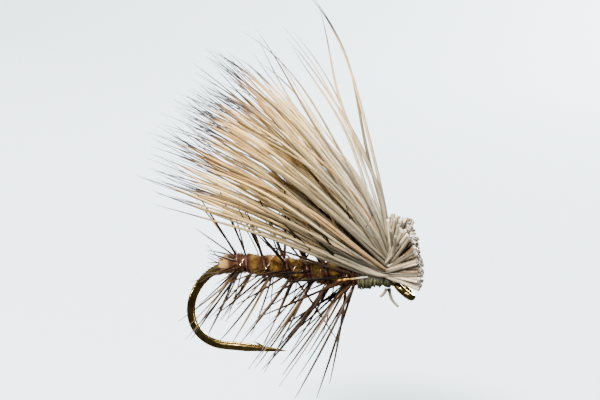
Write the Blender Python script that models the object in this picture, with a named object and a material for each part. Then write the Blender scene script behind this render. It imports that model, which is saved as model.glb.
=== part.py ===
"""Hair-wing dry fly tied on a size 12 down-eye hook.

The frame's origin is the centre of the hook's eye. The shank runs along X with the eye at the +X end, the
wing rises towards +Z, and the hook lies in the plane y = 0. Every shape is worked out in millimetres, about
its own object's origin, and stored in metres.
"""

import math
import random

import bmesh
import bpy
from mathutils import Vector

MM = 0.001
SEED = 12
GAP = 0.012  # between two pieces that touch
WINDING_GAP = 0.03  # under a wound piece, whose straight facets dip towards the body
ACROSS = Vector((0, 1, 0))

# Hook, formed from one wire
WIRE_R = 0.23
THROAT = 4.62  # shank to the bottom of the bend, between centrelines
BEND_R = THROAT / 2
BEND_X = -9.06
BEND_RAKE = 0.17  # the bend leans back by this share of its height
SHANK_Z = 0.428
BEND_END = math.radians(182)  # how far round the bend goes, so that the spear rises a little to the point
POINT_X = -5.98
POINT_TAPER = 2.2
FORGED_HALF = 0.17  # half the thickness across the forged flats
FORGED_CORNER = math.acos(FORGED_HALF / WIRE_R)
ROUND_CORNER = math.radians(15)
WIRE_SIDES = 12
EYE_R = 0.52  # centreline of the eye's loop
EYE_WIRE_R = 0.20
EYE_TILT = math.radians(34)
EYE_LOOP_START = math.radians(140)
EYE_LOOP_END = math.radians(-152)
NECK_X = -1.15  # the shank leaves its own line here, to form the eye

# Body, measured back along the hook from NECK_X
SHANK_LENGTH = NECK_X - (BEND_X + BEND_RAKE * BEND_R)
BODY_FRONT = 1.36
BODY_REAR = 8.85
BODY_R = 0.58
BODY_SEGMENTS = 6
THREAD_R = 0.30
COLLAR_END_R = 0.32

# Hair, tied on at TIE and passing through the thread collar
TIE = Vector((-1.17, 0, 1.25))
WAIST_LENGTH = 0.50
LOCK_COLUMNS, LOCK_ROWS = 5, 3
HAIRS_ACROSS, HAIRS_UP = 2, 3  # in one lock
LOCK_WIDTH, LOCK_HEIGHT = 0.24, 0.30
WING_LOW, WING_HIGH = math.radians(12.5), math.radians(70)
WING_TILT = math.radians(21)
WING_LENGTH_LOW, WING_LENGTH_HIGH = 14.5, 15.5
HAIR_HALF = 0.072
BUTT_LOW, BUTT_HIGH = math.radians(-16), math.radians(96)
BUTT_TILT = math.radians(42)
BUTT_HALF = 0.095
TRIM_NORMAL = math.radians(24.4)  # the scissors' cut faces this far above the shank
TRIM_DISTANCE = 1.97

# Hackle, one feather wound from the front to the bend
HACKLE_FRONT, HACKLE_REAR = 1.42, 8.10
HACKLE_TURNS = 6.5
BARBS_PER_TURN = 16
QUILL_HALF_FRONT, QUILL_HALF_REAR = 0.07, 0.04
BARB_FRONT, BARB_REAR = 5.9, 4.0
BARB_HALF = 0.045
RIB_R = 0.045
RIB_TURNS = 4.6
SQUARE = ((1, 1), (1, -1), (-1, -1), (-1, 1))


# ---------------------------------------------------------------- scene helpers


def clear_scene():
    for obj in list(bpy.data.objects):
        bpy.data.objects.remove(obj, do_unlink=True)


def material(name, colour, roughness, metallic=0.0):
    made = bpy.data.materials.new(name)
    made.use_nodes = True
    shader = made.node_tree.nodes["Principled BSDF"]
    shader.inputs["Base Color"].default_value = (*colour, 1.0)
    shader.inputs["Roughness"].default_value = roughness
    shader.inputs["Metallic"].default_value = metallic
    return made


def finish(name, bm, look, parent, origin=Vector((0, 0, 0)), smooth_angle=50):
    """Turns a bmesh in millimetres, shaped about origin, into a named object in metres."""
    bmesh.ops.recalc_face_normals(bm, faces=bm.faces)
    bmesh.ops.scale(bm, vec=(MM, MM, MM), verts=bm.verts)
    mesh = bpy.data.meshes.new(name)
    bm.to_mesh(mesh)
    bm.free()
    mesh.shade_smooth()
    mesh.set_sharp_from_angle(angle=math.radians(smooth_angle))
    mesh.materials.append(look)
    obj = bpy.data.objects.new(name, mesh)
    bpy.context.scene.collection.objects.link(obj)
    obj.parent = parent
    obj.location = origin * MM
    return obj


# ---------------------------------------------------------------- shape helpers


def mix(a, b, share):
    return a + (b - a) * share


def skin(bm, rings, ends="caps"):
    """Faces from each ring of points to the next. ends is "caps", or "loop" to join last to first."""
    rows = [[bm.verts.new(p) for p in ring] for ring in rings]
    pairs = list(zip(rows, rows[1:]))
    if ends == "loop":
        pairs.append((rows[-1], rows[0]))
    bands = []
    for low, high in pairs:
        after_low, after_high = low[1:] + low[:1], high[1:] + high[:1]
        bands.append([bm.faces.new(corners) for corners in zip(low, after_low, after_high, high)])
    if ends == "caps":
        bm.faces.new(rows[0])
        bm.faces.new(rows[-1])
    bmesh.ops.recalc_face_normals(bm, faces=bm.faces)
    return bands


def carried_frames(points):
    """(tangent, side, up) at each point, with side starting at ACROSS and carried along without twist."""
    side = ACROSS.copy()
    frames = []
    for i in range(len(points)):
        tangent = (points[min(i + 1, len(points) - 1)] - points[max(i - 1, 0)]).normalized()
        side = (side - tangent * side.dot(tangent)).normalized()
        frames.append((tangent, side, side.cross(tangent)))
    return frames


def round_rings(points, radii, sides):
    """A round section at each point of a path."""
    rings = []
    for point, radius, (_, side, up) in zip(points, radii, carried_frames(points)):
        turns = [math.tau * k / sides for k in range(sides)]
        rings.append([point + (side * math.cos(a) + up * math.sin(a)) * radius for a in turns])
    return rings


def grow(bm, face, centres, halves):
    """Extrudes a four-sided face into a square stalk that follows centres, with those half widths."""
    normal, middle = face.normal.copy(), face.calc_center_median()
    corners = [(vert.co - middle).normalized() * math.sqrt(2) for vert in face.verts]
    path = [middle, *centres]
    for i, half in enumerate(halves, start=1):
        tangent = path[min(i + 1, len(path) - 1)] - path[i - 1]
        turn = normal.rotation_difference(tangent)
        face = bmesh.ops.extrude_discrete_faces(bm, faces=[face])["faces"][0]
        for vert, corner in zip(face.verts, corners):
            vert.co = path[i] + turn @ corner * half


# ---------------------------------------------------------------- hook


def bend_point(turn):
    """On the bend, turn radians round from the shank: a half circle that leans back."""
    rise = BEND_R * math.cos(turn)
    return Vector((BEND_X - BEND_R * math.sin(turn) + BEND_RAKE * rise, 0, SHANK_Z - BEND_R + rise))


def shank_point(distance):
    """On the hook's centreline, this far back from the neck, along the shank and then round the bend."""
    if distance <= SHANK_LENGTH:
        return Vector((NECK_X - distance, 0, SHANK_Z))
    return bend_point((distance - SHANK_LENGTH) / BEND_R)


def shank_frame(distance):
    """(point, side, up) of the hook's centreline there."""
    step = 0.01
    point = shank_point(distance)
    tangent = (shank_point(distance + step) - point).normalized()
    return point, ACROSS, ACROSS.cross(tangent)


def around_shank(distance, radius, angle):
    point, side, up = shank_frame(distance)
    return point + (side * math.cos(angle) + up * math.sin(angle)) * radius


def eye_point(turn):
    forward = Vector((math.cos(EYE_TILT), 0, -math.sin(EYE_TILT)))
    return (forward * math.cos(turn) + ACROSS * math.sin(turn)) * EYE_R


def neck_points(count):
    """The wire from the shank into the eye's loop: a cubic curve that leaves both in line."""
    start, end = Vector((NECK_X, 0, SHANK_Z)), eye_point(EYE_LOOP_START)
    leave = Vector((0.9, 0, 0))
    arrive = (eye_point(EYE_LOOP_START - 0.01) - end).normalized() * 0.9
    points = []
    for i in range(1, count):
        t = i / count
        weights = (2 * t**3 - 3 * t**2 + 1, t**3 - 2 * t**2 + t, 3 * t**2 - 2 * t**3, t**3 - t**2)
        points.append(start * weights[0] + leave * weights[1] + end * weights[2] + arrive * weights[3])
    return points


def wire_section(radius, forged):
    """Offsets (across, up) round the wire. forged goes from 0, round, to 1, flat on both sides."""
    corner = mix(ROUND_CORNER, FORGED_CORNER, forged)
    step = (math.pi - 2 * corner) / (WIRE_SIDES / 2 - 1)
    upper = [corner + step * k for k in range(WIRE_SIDES // 2)]
    return [(radius * math.cos(a), radius * math.sin(a)) for a in upper + [a + math.pi for a in upper]]


def spear_point(behind):
    """On the straight spear, this far back from the point."""
    start = bend_point(BEND_END)
    rise = BEND_END - math.pi
    length = (POINT_X - start.x) / math.cos(rise)
    return start + Vector((math.cos(rise), 0, math.sin(rise))) * (length - behind)


def make_hook(look, parent):
    points, radii, forged = [], [], []
    for behind in (0, 0.2, 0.5, 0.9, 1.3, 1.7, 2.2, 2.8):
        points.append(spear_point(behind))
        radii.append(mix(0.012, WIRE_R, min(1, behind / POINT_TAPER) ** 0.8))
        forged.append(0)
    bend_steps = 24
    for i in range(bend_steps + 1):
        points.append(bend_point(BEND_END * (1 - i / bend_steps)))
        radii.append(WIRE_R)
        forged.append(1 if 3 <= i <= 17 else 0)
    for distance in (SHANK_LENGTH * 0.5, 0):
        points.append(shank_point(distance))
        radii.append(WIRE_R)
        forged.append(0)
    neck = neck_points(7)
    loop_steps = 20
    loop = [eye_point(mix(EYE_LOOP_START, EYE_LOOP_END, i / loop_steps)) for i in range(loop_steps + 1)]
    points += neck + loop
    radii += [mix(WIRE_R, EYE_WIRE_R, (i + 1) / len(neck)) for i in range(len(neck))]
    radii += [EYE_WIRE_R] * len(loop)
    forged += [0] * len(neck + loop)
    rings = []
    for point, radius, flat, (_, side, up) in zip(points, radii, forged, carried_frames(points)):
        rings.append([point + side * a + up * b for a, b in wire_section(radius, flat)])
    bm = bmesh.new()
    bands = skin(bm, rings)
    barb_base = max(bands[4], key=lambda face: face.normal.z)
    barb_tip = spear_point(2.0) + Vector((0, 0, WIRE_R + 0.16))
    grow(bm, barb_base, [barb_tip], [0.02])
    return finish("hook", bm, look, parent)


# ---------------------------------------------------------------- thread and body


def body_radius(distance):
    """The dubbing's radius: it swells between the hackle's turns and rounds off at both ends."""
    share = (distance - BODY_FRONT) / (BODY_REAR - BODY_FRONT)
    swell = 1 + 0.06 * math.cos(math.tau * BODY_SEGMENTS * share)
    ends = min(1, (share + 0.012) / 0.05, (1.012 - share) / 0.07)
    return mix(THREAD_R + 0.06, BODY_R * swell, math.sqrt(max(0, ends)))


def sleeve_rings(stations, inner, sides):
    """Rings for a sleeve on the hook: stations are (distance, radius), front to rear, and inner is its bore."""
    turns = [math.tau * k / sides for k in range(sides)]
    outside = [[around_shank(s, r, a) for a in turns] for s, r in stations]
    bore = [s for s, _ in reversed(stations)]
    bore = [bore[0], *[s for i, s in enumerate(bore[1:-1]) if i % 4 == 3 or s > SHANK_LENGTH], bore[-1]]
    return outside + [[around_shank(s, inner, a) for a in turns] for s in bore]


def make_sleeve(name, stations, inner, sides, look, parent):
    bm = bmesh.new()
    skin(bm, sleeve_rings(stations, inner, sides), ends="loop")
    return finish(name, bm, look, parent)


def wound(start, end, radii, turns):
    """Stations of a wound layer from start to end on the hook: each turn of thread shows as a low ridge."""
    stations = []
    steps = turns * 2
    for i in range(steps + 1):
        share = i / steps
        ridge = 0.014 if i % 2 else 0.0
        stations.append((mix(start, end, share), mix(radii[0], radii[1], share) + ridge))
    return stations


def make_thread_and_body(thread, dubbing, parent):
    bore = WIRE_R + GAP
    under = wound(BODY_FRONT + 0.05, BODY_REAR - 0.05, (THREAD_R, THREAD_R), 12)
    make_sleeve("thread_underbody", under, bore, 12, thread, parent)
    count = 30
    stations = []
    for i in range(count + 1):
        distance = mix(BODY_FRONT, BODY_REAR, i / count)
        stations.append((distance, body_radius(distance)))
    make_sleeve("dubbed_abdomen", stations, THREAD_R + 0.014 + 2 * GAP, 14, dubbing, parent)
    front = wound(0.0, BODY_FRONT - 0.03, (COLLAR_END_R, BODY_R - 0.03), 7)
    make_sleeve("thread_front_wraps", front, bore, 14, thread, parent)


def ellipse_ring(x, half_across, half_up, z, sides):
    """A rounded square in the plane of that x, as thread pulled round the hair and the shank takes."""
    ring = []
    for k in range(sides):
        angle = math.tau * k / sides
        c, s = math.cos(angle), math.sin(angle)
        reach = (c**4 + s**4) ** -0.25
        ring.append(Vector((x, half_across * reach * c, z + half_up * reach * s)))
    return ring


def make_collar(thread, parent):
    """The tight turns of thread that hold the hair down on the shank."""
    turns, sides = 4, 20
    front, rear = TIE.x + 0.15, TIE.x - 0.18
    inner_across, inner_up = 0.85, 0.87
    middle_z = 0.905
    rings = []
    for i in range(turns * 2 + 1):
        thick = 0.09 + (0.05 if i % 2 else 0.0)
        x = mix(front, rear, i / (turns * 2))
        rings.append(ellipse_ring(x, inner_across + thick, inner_up + thick, middle_z, sides))
    rings.append(ellipse_ring(rear, inner_across, inner_up, middle_z, sides))
    rings.append(ellipse_ring(front, inner_across, inner_up, middle_z, sides))
    bm = bmesh.new()
    skin(bm, rings, ends="loop")
    finish("thread_collar", bm, thread, parent)


def neck_sleeve(name, path, outer, inner, sides, look, parent):
    """A sleeve that follows the wire where it turns down into the eye."""
    outside = round_rings(path, outer, sides)
    bore = round_rings(path, [inner] * len(path), sides)
    bm = bmesh.new()
    skin(bm, outside + bore[::-1], ends="loop")
    finish(name, bm, look, parent)


def make_head_wraps(thread, cement, parent):
    """The whip finish just behind the eye, and the lacquer over it."""
    path = [Vector((NECK_X, 0, SHANK_Z)), *neck_points(14)[:5]]
    path[0].x += 0.02
    ridged = [0.30 + (0.016 if i % 2 else 0) for i in range(len(path))]
    neck_sleeve("whip_finish", path, ridged, WIRE_R + GAP, 12, thread, parent)
    coat = [0.345, 0.36, 0.365, 0.365, 0.355, 0.335]
    neck_sleeve("head_cement", path, coat, 0.316 + GAP, 12, cement, parent)


# ---------------------------------------------------------------- hair


def fan(elevation, tilt, way):
    """A unit direction, raised by elevation and leaned sideways by tilt. way is -1 for back, 1 for forward."""
    flat = math.cos(tilt)
    return Vector((way * math.cos(elevation) * flat, math.sin(tilt), math.sin(elevation) * flat))


def wing_hair(start, u, v, rng):
    """(centres, halves) of one hair from waist to tip. u goes across the wing and v up it, from 0 to 1."""
    elevation = mix(WING_LOW, WING_HIGH, v**1.5) + rng.uniform(-0.012, 0.012)
    tilt = mix(-WING_TILT, WING_TILT, u) + rng.uniform(-0.012, 0.012)
    length = mix(WING_LENGTH_LOW, WING_LENGTH_HIGH, v) + rng.uniform(-0.7, 0.7)
    tip = TIE + fan(elevation, tilt, -1) * length
    bow = Vector((math.sin(elevation), 0, math.cos(elevation))) * mix(0.25, 0.75, v)
    shares = (0.0, 0.22, 0.62, 1.0)
    widths = (0.55, 1.0, 0.85, 0.12)
    centres = [start.lerp(tip, t) + bow * 4 * t * (1 - t) for t in shares]
    return centres, [HAIR_HALF * width for width in widths]


def butt_hair(start, u, v, rng):
    """(centres, halves) of the same hair forward of the waist, to where the scissors cut it."""
    elevation = mix(BUTT_LOW, BUTT_HIGH, v)
    tilt = mix(-BUTT_TILT, BUTT_TILT, u)
    direction = fan(elevation, tilt, 1)
    off = direction.angle(fan(TRIM_NORMAL, 0, 1))
    reach = (TRIM_DISTANCE - 0.22 * (off / math.radians(50)) ** 2) / max(0.55, math.cos(off))
    end = TIE + direction * (reach + rng.uniform(-0.06, 0.06))
    return [start, start.lerp(end, 0.45), end], [BUTT_HALF * 0.42, BUTT_HALF * 0.85, BUTT_HALF]


def brick(bm, across, up, width, height, length):
    """A brick about the origin, both ends cut into across by up cells. Returns (rear faces, front faces)."""

    def sheet(x):
        rows = []
        for j in range(up + 1):
            z = (j / up - 0.5) * height
            rows.append([bm.verts.new((x, (i / across - 0.5) * width, z)) for i in range(across + 1)])
        cells = {}
        for j in range(up):
            for i in range(across):
                cells[i, j] = bm.faces.new((rows[j][i], rows[j][i + 1], rows[j + 1][i + 1], rows[j + 1][i]))
        edge = rows[0] + [row[-1] for row in rows[1:]] + rows[-1][-2::-1] + [row[0] for row in rows[-2:0:-1]]
        return cells, edge

    rear, rear_edge = sheet(-length / 2)
    front, front_edge = sheet(length / 2)
    for i in range(len(rear_edge)):
        after = (i + 1) % len(rear_edge)
        bm.faces.new((rear_edge[i], rear_edge[after], front_edge[after], front_edge[i]))
    bmesh.ops.recalc_face_normals(bm, faces=bm.faces)
    return rear, front


def make_hair_locks(look, parent):
    """Locks of stacked hair, side by side in the collar. Each hair runs from a trimmed butt to a fine tip."""
    rng = random.Random(SEED)
    total_across, total_up = LOCK_COLUMNS * HAIRS_ACROSS, LOCK_ROWS * HAIRS_UP
    number = 0
    for row in range(LOCK_ROWS):
        for column in range(LOCK_COLUMNS):
            number += 1
            y = (column - (LOCK_COLUMNS - 1) / 2) * LOCK_WIDTH
            z = (row - (LOCK_ROWS - 1) / 2) * LOCK_HEIGHT
            origin = TIE + Vector((0, y, z))
            bm = bmesh.new()
            size = (LOCK_WIDTH - GAP, LOCK_HEIGHT - GAP, WAIST_LENGTH)
            rear, front = brick(bm, HAIRS_ACROSS, HAIRS_UP, *size)
            for (i, j), face in rear.items():
                u = (column * HAIRS_ACROSS + i + 0.5) / total_across
                v = (row * HAIRS_UP + j + 0.5) / total_up
                for base, hair in ((face, wing_hair), (front[i, j], butt_hair)):
                    start = origin + base.calc_center_median()
                    centres, halves = hair(start, u, v, rng)
                    grow(bm, base, [centre - origin for centre in centres], halves)
            finish(f"elk_hair_lock_{number:02d}", bm, look, parent, origin)


def make_trapped_hairs(look, parent):
    """Two short hair ends that slipped under the thread and point down behind the eye."""
    ends = ((-1.02, -0.12, (-0.30, -0.12, -0.45)), (-0.86, 0.10, (0.58, -0.10, -0.86)))
    for number, (x, y, reach) in enumerate(ends, start=1):
        bm = bmesh.new()
        down = Vector(reach)
        sag = Vector((-0.07, 0, -0.04))
        path = [down * t + sag * 4 * t * (1 - t) for t in (0, 0.2, 0.4, 0.6, 0.8, 1.0)]
        radii = [mix(0.075, 0.035, i / 5) for i in range(6)]
        skin(bm, round_rings(path, radii, 6))
        origin = Vector((x, y, SHANK_Z - 0.54))
        finish(f"trapped_hair_{number}", bm, look, parent, origin)


# ---------------------------------------------------------------- hackle and rib


def quill_half(share):
    return mix(QUILL_HALF_FRONT, QUILL_HALF_REAR, share)


def hackle_path():
    """(share, distance along the hook, angle) at each step of the winding, closer together at the front."""
    steps = int(HACKLE_TURNS * BARBS_PER_TURN)
    found = []
    for i in range(steps + 1):
        share = i / steps
        angle = math.radians(200) - math.tau * HACKLE_TURNS * share
        found.append((share, mix(HACKLE_FRONT, HACKLE_REAR, share**1.25), angle))
    return found


def rib_points():
    """The rib goes round the other way, over the quill."""
    steps = int(RIB_TURNS * 14)
    points = []
    for i in range(steps + 1):
        share = i / steps
        distance = mix(BODY_FRONT + 0.30, BODY_REAR - 0.75, share)
        radius = body_radius(distance) + 2 * QUILL_HALF_FRONT + 2 * WINDING_GAP + RIB_R
        points.append(around_shank(distance, radius, math.radians(60) + math.tau * RIB_TURNS * share))
    return points


def make_rib(look, parent):
    points = rib_points()
    bm = bmesh.new()
    skin(bm, round_rings(points, [RIB_R] * len(points), 6))
    finish("rib_wire", bm, look, parent)


def under_wing(point):
    """True where a barb would run into the wing's hairs."""
    back = TIE.x - point.x
    floor = TIE.z - 0.45 + back * math.tan(WING_LOW) * 0.93
    half_width = 0.75 + back * math.tan(WING_TILT) * 1.08
    return back > 0 and point.z > floor and abs(point.y) < half_width


def barb_line(root, outward, back, share, rng):
    """(centres, halves) of one barb, leaning back from the quill and cut short where it meets the wing."""
    lean = math.radians(rng.uniform(9, 24))
    length = mix(BARB_FRONT, BARB_REAR, share) * rng.uniform(0.86, 1.04)
    direction = outward * math.cos(lean) + back * math.sin(lean)
    reach = 0.3
    while reach < length and not under_wing(root + direction * (reach + 0.15)):
        reach += 0.1
    reach = min(reach, length)
    droop = back * 0.05 * reach
    centres = [root + direction * reach * t + droop * t * t for t in (0.01, 0.5, 1.0)]
    return centres, [BARB_HALF, BARB_HALF * 0.7, BARB_HALF * 0.25]


def beside_hook(angle):
    """Barbs that would point straight down are parted to either side of the hook's bend and spear."""
    straight_down = -math.pi / 2
    off = math.remainder(angle - straight_down, math.tau)
    least = math.radians(11)
    return straight_down + math.copysign(max(abs(off), least), off)


def make_hackle(look, parent):
    """The whole feather: its quill wound round the body, with a barb from the outer face of every step."""
    rng = random.Random(SEED)
    rings, marks = [], []
    butt_end = Vector((-1.70, -0.55, 0.50))
    for share, distance, angle in hackle_path():
        half = quill_half(share)
        middle = body_radius(distance) + WINDING_GAP + half
        _, _, up = shank_frame(distance)
        back = (shank_point(distance + 0.01) - shank_point(distance)).normalized()
        outward = ACROSS * math.cos(angle) + up * math.sin(angle)
        centre = around_shank(distance, middle, angle)
        rings.append([centre + (outward * a + back * b) * half for a, b in SQUARE])
        marks.append((share, distance, angle))
    first = rings[0]
    shift = butt_end - sum(first, Vector()) / 4
    rings.insert(0, [point + shift for point in first])
    rings.insert(1, [point + shift * 0.5 + Vector((0, -0.03, 0)) for point in first])
    bm = bmesh.new()
    bands = skin(bm, rings)
    rib = rib_points()
    for i, band in enumerate(bands[2:]):
        share, distance, angle = marks[i]
        angle = (angle + marks[i + 1][2]) / 2
        _, side, up = shank_frame(distance)
        outward = side * math.cos(angle) + up * math.sin(angle)
        face = max(band, key=lambda f: f.normal.dot(outward))
        root = face.calc_center_median()
        if min((root - p).length for p in rib) < 0.20:
            continue
        parted = beside_hook(angle)
        aim = side * math.cos(parted) + up * math.sin(parted)
        back = ACROSS.cross(up) * -1
        centres, halves = barb_line(root, aim, back, share, rng)
        grow(bm, face, centres, halves)
    finish("hackle_feather", bm, look, parent)


# ---------------------------------------------------------------- assembly


def main():
    clear_scene()
    bronze = material("bronzed_steel", (0.42, 0.27, 0.09), 0.22, 1.0)
    thread = material("olive_thread", (0.19, 0.19, 0.13), 0.45)
    fur = material("amber_dubbing", (0.45, 0.25, 0.07), 0.9)
    copper = material("copper_rib", (0.80, 0.52, 0.32), 0.25, 1.0)
    feather = material("brown_hackle", (0.10, 0.045, 0.018), 0.5)
    hair = material("elk_hair", (0.62, 0.49, 0.33), 0.6)
    lacquer = material("clear_lacquer", (0.25, 0.23, 0.16), 0.08)
    parent = bpy.data.objects.new("dry_fly", None)
    bpy.context.scene.collection.objects.link(parent)
    make_hook(bronze, parent)
    make_thread_and_body(thread, fur, parent)
    make_head_wraps(thread, lacquer, parent)
    make_collar(thread, parent)
    make_rib(copper, parent)
    make_hackle(feather, parent)
    make_hair_locks(hair, parent)
    make_trapped_hairs(hair, parent)


main()
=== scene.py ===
"""Looks for the hair-wing dry fly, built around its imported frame.

Shapes are worked out in millimetres, in the frame's own axes: the origin is the centre of the hook's
eye, +X runs along the shank towards the eye and +Z rises to the wing. They are stored in metres.
"""

import math
from collections import namedtuple

import bpy
import numpy as np
from mathutils import Matrix, Vector, noise


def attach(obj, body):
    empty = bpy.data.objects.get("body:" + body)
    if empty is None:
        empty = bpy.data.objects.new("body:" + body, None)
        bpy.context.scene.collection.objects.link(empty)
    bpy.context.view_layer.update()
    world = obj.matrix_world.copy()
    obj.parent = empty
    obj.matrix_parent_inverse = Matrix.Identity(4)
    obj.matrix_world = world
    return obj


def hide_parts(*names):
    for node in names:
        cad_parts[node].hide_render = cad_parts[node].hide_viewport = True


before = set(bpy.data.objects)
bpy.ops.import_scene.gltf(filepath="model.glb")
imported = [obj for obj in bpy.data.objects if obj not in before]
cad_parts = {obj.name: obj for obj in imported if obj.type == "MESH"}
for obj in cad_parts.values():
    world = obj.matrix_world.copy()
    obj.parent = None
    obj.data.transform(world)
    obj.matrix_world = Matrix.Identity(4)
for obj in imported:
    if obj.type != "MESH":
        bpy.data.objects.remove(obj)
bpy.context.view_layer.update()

MM = 0.001
SEED = 7
ALONG = np.array((1.0, 0.0, 0.0))
ACROSS = np.array((0.0, 1.0, 0.0))
UP = np.array((0.0, 0.0, 1.0))

# The hook, as in the CAD
WIRE_R = 0.23
THROAT = 4.62  # shank to the bottom of the bend, between centrelines
BEND_R = THROAT / 2
BEND_X = -9.06
BEND_RAKE = 0.17  # the bend leans back by this share of its height
BEND_END = math.radians(182)
SHANK_Z = 0.428
POINT_X = -5.98
POINT_TAPER = 2.2
FORGED_HALF = 0.17  # half the thickness across the forged flats
EYE_R = 0.52  # centreline of the eye's loop
EYE_WIRE_R = 0.20
EYE_TILT = math.radians(34)
EYE_LOOP_START = math.radians(140)
EYE_LOOP_END = math.radians(-152)
NECK_X = -1.15  # the shank leaves its own line here, to form the eye
SHANK_LENGTH = NECK_X - (BEND_X + BEND_RAKE * BEND_R)

# The hook's point, and the barb behind it
POINT_R = 0.012
HOOK_BARB_ROOT, HOOK_BARB_TIP = 1.15, 2.0  # how far behind the point it starts and ends
HOOK_BARB_R, HOOK_BARB_TIP_R = 0.12, 0.008
HOOK_BARB_STANDOFF = 0.17

# The body, measured back along the hook from NECK_X. The fur starts further forward than in the CAD
BODY_FRONT = 1.20
BODY_REAR = 8.85
BODY_R = 0.57
FUR_LUMPS = ((0.055, 1.9), (0.035, 5.5))  # the height of each kind, and how closely they lie
WOUND_FIBRES, LOOSE_FIBRES = 620, 420
RIB_TURNS = 4.6
RIB_R = 0.042
THREAD_R = 0.034

# The hackle: how far back from NECK_X each of the quill's turns starts
QUILL_TURNS = (1.42, 1.62, 2.05, 3.0, 4.0, 5.1, 6.35, 7.4, 7.9, 8.15)
QUILL_START = math.radians(200)
QUILL_R_FRONT, QUILL_R_REAR = 0.075, 0.038
GROOVE_WIDTH = 0.20  # the dent that the quill presses into the fur
GROOVE_DEPTH = 0.17  # as a share of the fur's radius
BAND_WIDTH = 0.34  # the dark band that the quill leaves on it
BARBS_PER_TURN = 20
BARB_FRONT, BARB_REAR = 7.1, 4.7  # the longest barb at either end
BARB_FLATNESS = 0.6
SWEPT_FORWARD = 0.05  # the share of barbs that lean the other way
MISSING_ABOVE, MISSING_BESIDE, MISSING_AT_REAR = 0.22, 0.5, 0.35
TAIL_BARBS = 16

# The hair: one bundle tied down at TIE, whose locks lie in columns across it and rows up it
TIE = np.array((-0.98, 0.0, 1.20))
BUNDLE_HALF_ACROSS, BUNDLE_HALF_UP = 0.50, 0.53
LOCK_COLUMNS, LOCK_ROWS = 5, 3
HAIRS_PER_LOCK = 13
HAIRS_PER_CLUMP = 4
STRAY_SCATTER = 2.2
WING_R, BUTT_R = 0.088, 0.104
# The wing's rise in degrees, at these shares of the way up the bundle
WING_RISE = ((0, 0.3, 0.62, 0.90, 0.915, 0.965, 0.975, 1.0), (17, 26, 35, 45, 53, 57, 60, 66))
LOWEST_RISE = math.radians(13)
WING_TILT = math.radians(22)
WIDEST_TILT = math.radians(27)
WING_LENGTH_LOW, WING_LENGTH_HIGH = 14.6, 15.4
BUTT_RISE_LOW, BUTT_RISE_HIGH = -3, 94  # in degrees
BUTT_TILT = math.radians(29)
TRIM_NORMAL = math.radians(17)  # the scissors' cut faces this far above the shank
TRIM_DISTANCE = 1.70
LONGEST_BUTT = 2.78
DARK_TONE = 0.71
PITH = -1.1  # a hair's along value at the middle of its cut end


# ---------------------------------------------------------------- small sums


def mix(a, b, share):
    """From a at share 0 to b at share 1."""
    return a + (b - a) * share


def smooth(x):
    """Eases from 0 to 1, level at both ends."""
    x = np.clip(x, 0, 1)
    return x * x * (3 - 2 * x)


def unit(v):
    return v / np.maximum(np.linalg.norm(v, axis=-1, keepdims=True), 1e-12)


def fan(elevation, tilt, way):
    """A direction raised from the shank by elevation and leaned sideways by tilt.

    way is -1 for the rear and 1 for the front.
    """
    flat = np.cos(tilt)
    return np.stack((way * np.cos(elevation) * flat, np.sin(tilt), np.sin(elevation) * flat), axis=-1)


# ---------------------------------------------------------------- meshes


def grid_faces(rows, columns, start=0):
    """Quads of a tube's wall, closed round each row. start is the first point's number."""
    k = np.arange(columns)
    after = (k + 1) % columns
    low = start + np.arange(rows - 1)[:, None] * columns
    quads = np.stack((low + k, low + after, low + columns + after, low + columns + k), axis=-1)
    return quads.reshape(-1, 4).tolist()


def end_faces(rows, columns, start=0):
    """The two flat faces that close the same tube."""
    last = start + (rows - 1) * columns
    return [list(range(start + columns - 1, start - 1, -1)), list(range(last, last + columns))]


def make_piece(name, points, faces, flat_faces, material, nodes=(), slot=None, **attributes):
    """A mesh in metres that rides on the fly's one body and stands for the CAD nodes given."""
    mesh = bpy.data.meshes.new(name)
    mesh.from_pydata((points * MM).tolist(), [], faces + flat_faces)
    mesh.polygons.foreach_set("use_smooth", [True] * len(faces) + [False] * len(flat_faces))
    for key, values in attributes.items():
        attribute = mesh.attributes.new(key, "FLOAT", "POINT")
        attribute.data.foreach_set("value", np.asarray(values, np.float32))
    mesh.update()
    mesh.materials.append(material)
    obj = bpy.data.objects.new(name, mesh)
    bpy.context.scene.collection.objects.link(obj)
    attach(obj, "root")
    if nodes:
        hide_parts(*nodes)
    return obj


class Strands:
    """Collects closed, tapered tubes into one mesh.

    Each point keeps three values for its material: along, how far along its strand it is; tone, one
    number for the whole strand; and rim, 1 at the strand's two edges and 0 along its middle.
    """

    def __init__(self, first=0):
        self.points, self.faces, self.flat_faces = [], [], []
        self.along, self.tone, self.rim = [], [], []
        self.count = first

    def add(self, path, radii, reference, sides=8, tone=0.5, along=None, flatness=1.0):
        """A tube along path. reference is the direction that its flatness squeezes least."""
        path, radii = np.asarray(path, float), np.asarray(radii, float)
        steps = len(path)
        tangent = unit(np.gradient(path, axis=0))
        side = unit(reference - tangent * (tangent * reference).sum(-1, keepdims=True))
        over = np.cross(tangent, side) * flatness
        turn = np.linspace(0, math.tau, sides, endpoint=False)
        ring = side[:, None] * np.cos(turn)[None, :, None] + over[:, None] * np.sin(turn)[None, :, None]
        self.points.append((path[:, None] + ring * radii[:, None, None]).reshape(-1, 3))
        self.faces.extend(grid_faces(steps, sides, self.count))
        self.flat_faces.extend(end_faces(steps, sides, self.count))
        along = np.linspace(0, 1, steps) if along is None else np.asarray(along, float)
        self.along.append(np.repeat(along, sides))
        self.tone.append(np.full(steps * sides, tone))
        self.rim.append(np.tile(np.abs(np.cos(turn)), steps))
        self.count += steps * sides

    def piece(self, name, material, nodes=(), slot=None, **more):
        values = {key: np.concatenate(getattr(self, key)) for key in ("along", "tone", "rim")}
        points = np.concatenate(self.points)
        return make_piece(name, points, self.faces, self.flat_faces, material, nodes, slot, **values, **more)


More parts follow.
